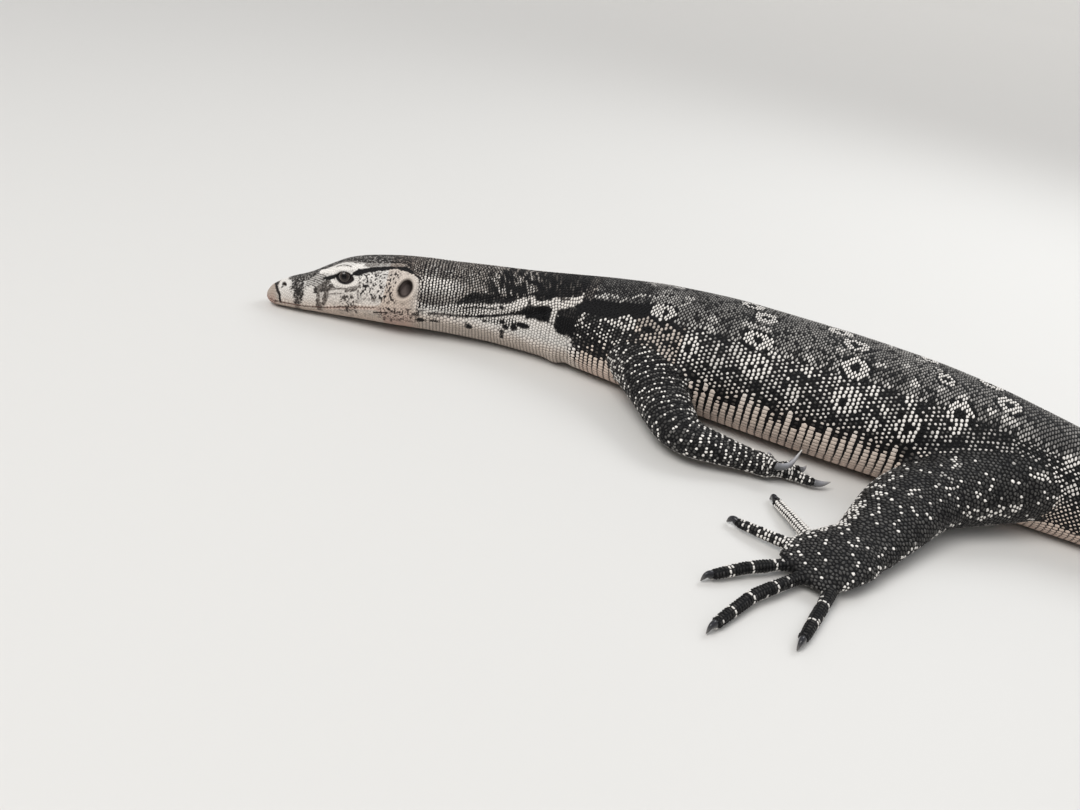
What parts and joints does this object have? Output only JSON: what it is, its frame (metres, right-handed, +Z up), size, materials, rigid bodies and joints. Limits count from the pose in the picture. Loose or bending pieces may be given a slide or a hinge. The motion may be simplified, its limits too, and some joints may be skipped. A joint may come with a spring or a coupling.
{
  "type": "water monitor lizard",
  "caption": "Still life-size water monitor lizard lying flat, head turned to its left, black skin with white bead scales, pale banded snout and throat, long keeled tail.",
  "frame": {"origin": "on the floor, under the middle of the trunk", "axes": "+X along the trunk towards the tail, -Y the lizard's left side, +Z up"},
  "size_m": [1.265, 0.3523, 0.0698],
  "materials": {
    "skin": "dry black scales with cream-white beads, rows and rings; cream belly and lips",
    "eye": "wet dark brown iris with a round black pupil",
    "claw": "grey-black horn, paler and slightly clear along the edge"
  },
  "bodies": {
    "root": {"head": "skin", "eye_left": "eye", "eye_right": "eye", "neck": "skin", "torso_front": "skin", "torso_rear": "skin", "tail_1": "skin", "tail_2": "skin", "tail_3": "skin", "tail_4": "skin", "upper_arm_left": "skin", "forearm_left": "skin", "hand_left": "skin", "upper_arm_right": "skin", "forearm_right": "skin", "hand_right": "skin", "thigh_left": "skin", "shin_left": "skin", "foot_left": "skin", "thigh_right": "skin", "shin_right": "skin", "foot_right": "skin", "claw_fore_left_1": "claw", "claw_fore_left_2": "claw", "claw_fore_left_3": "claw", "claw_fore_left_4": "claw", "claw_fore_left_5": "claw", "claw_fore_right_1": "claw", "claw_fore_right_2": "claw", "claw_fore_right_3": "claw", "claw_fore_right_4": "claw", "claw_fore_right_5": "claw", "claw_hind_left_1": "claw", "claw_hind_left_2": "claw", "claw_hind_left_3": "claw", "claw_hind_left_4": "claw", "claw_hind_left_5": "claw", "claw_hind_right_1": "claw", "claw_hind_right_2": "claw", "claw_hind_right_3": "claw", "claw_hind_right_4": "claw", "claw_hind_right_5": "claw"}
  },
  "joints": []
}
